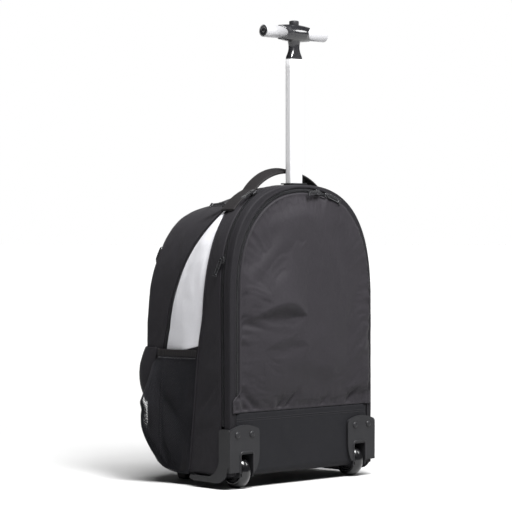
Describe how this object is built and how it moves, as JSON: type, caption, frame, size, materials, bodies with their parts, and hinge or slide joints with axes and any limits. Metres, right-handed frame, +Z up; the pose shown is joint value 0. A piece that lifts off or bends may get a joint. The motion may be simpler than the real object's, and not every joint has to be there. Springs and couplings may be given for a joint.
{
  "type": "wheeled laptop backpack",
  "caption": "Arched cloth laptop backpack that rolls on rear wheels, with a telescoping T handle, zipped back cover, mesh side pockets and a webbing grab handle.",
  "frame": {"origin": "centre of the bag's footprint at floor level", "axes": "+Z up along the telescoping handle, +X across the bag, +Y from the wheel side (the back) to the front"},
  "size_m": [0.387, 0.249, 0.761],
  "materials": {
    "nylon": "charcoal woven nylon",
    "base": "charcoal coated base cloth",
    "pale": "pale grey woven cloth",
    "mesh": "black open net",
    "webbing": "black ribbed webbing",
    "zip": "black tape and coil",
    "pull": "dark moulded pull",
    "plastic": "charcoal moulded plastic",
    "gloss": "polished black plastic",
    "aluminium": "polished aluminium",
    "steel": "plain steel",
    "rubber": "smooth black rubber"
  },
  "bodies": {
    "bag": {"rear_gusset": "nylon", "main_gusset": "nylon", "side_wedge_left": "pale", "side_wedge_right": "pale", "lower_side_left": "nylon", "lower_side_right": "nylon", "front_gusset": "nylon", "back_panel": "nylon", "front_panel": "nylon", "front_pocket": "nylon", "base_panel": "base", "mesh_pocket_left": "mesh", "mesh_pocket_right": "mesh", "pocket_hem_left": "webbing", "pocket_hem_right": "webbing", "harness_zip": "zip", "laptop_zip": "zip", "front_zip": "zip", "zip_slider_harness_a": "pull", "zip_pull_harness_a": "pull", "zip_slider_harness_b": "pull", "zip_pull_harness_b": "pull", "zip_slider_laptop_side": "pull", "zip_pull_laptop_side": "pull", "zip_slider_laptop_top": "pull", "zip_pull_laptop_top": "pull", "zip_slider_front": "pull", "zip_pull_front": "pull", "cable_port": "rubber", "grab_handle": "webbing", "handle_socket": "plastic", "axle_left": "steel", "axle_right": "steel", "wheel_housing_left": "plastic", "wheel_housing_right": "plastic", "housing_bolt_1_left": "plastic", "housing_bolt_1_right": "plastic", "housing_bolt_2_left": "plastic", "housing_bolt_2_right": "plastic", "front_foot_left": "rubber", "front_foot_right": "rubber"},
    "handle": {"trolley_tube": "aluminium", "tube_rivet": "steel", "grip_core": "gloss", "grip_sleeve_left": "aluminium", "grip_sleeve_right": "aluminium", "grip_plug_left": "gloss", "grip_plug_right": "gloss"},
    "button": {"release_button": "plastic"},
    "wheel_left": {"tyre_left": "rubber", "wheel_hub_left": "plastic"},
    "wheel_right": {"tyre_right": "rubber", "wheel_hub_right": "plastic"}
  },
  "joints": [
    {"name": "handle_slide", "type": "slide", "parent": "bag", "child": "handle", "axis": [0, 0, 1], "range_m": [-0.2, 0]},
    {"name": "button_press", "type": "slide", "parent": "handle", "child": "button", "axis": [0, 0, -1], "range_m": [0, 0.003], "stiffness_N_per_m": 400, "springref_m": -0.003},
    {"name": "wheel_left_spin", "type": "hinge", "parent": "bag", "child": "wheel_left", "pos_m": [-0.131, -0.09294, 0.027], "axis": [1, 0, 0], "continuous": true},
    {"name": "wheel_right_spin", "type": "hinge", "parent": "bag", "child": "wheel_right", "pos_m": [0.131, -0.09294, 0.027], "axis": [1, 0, 0], "continuous": true}
  ]
}
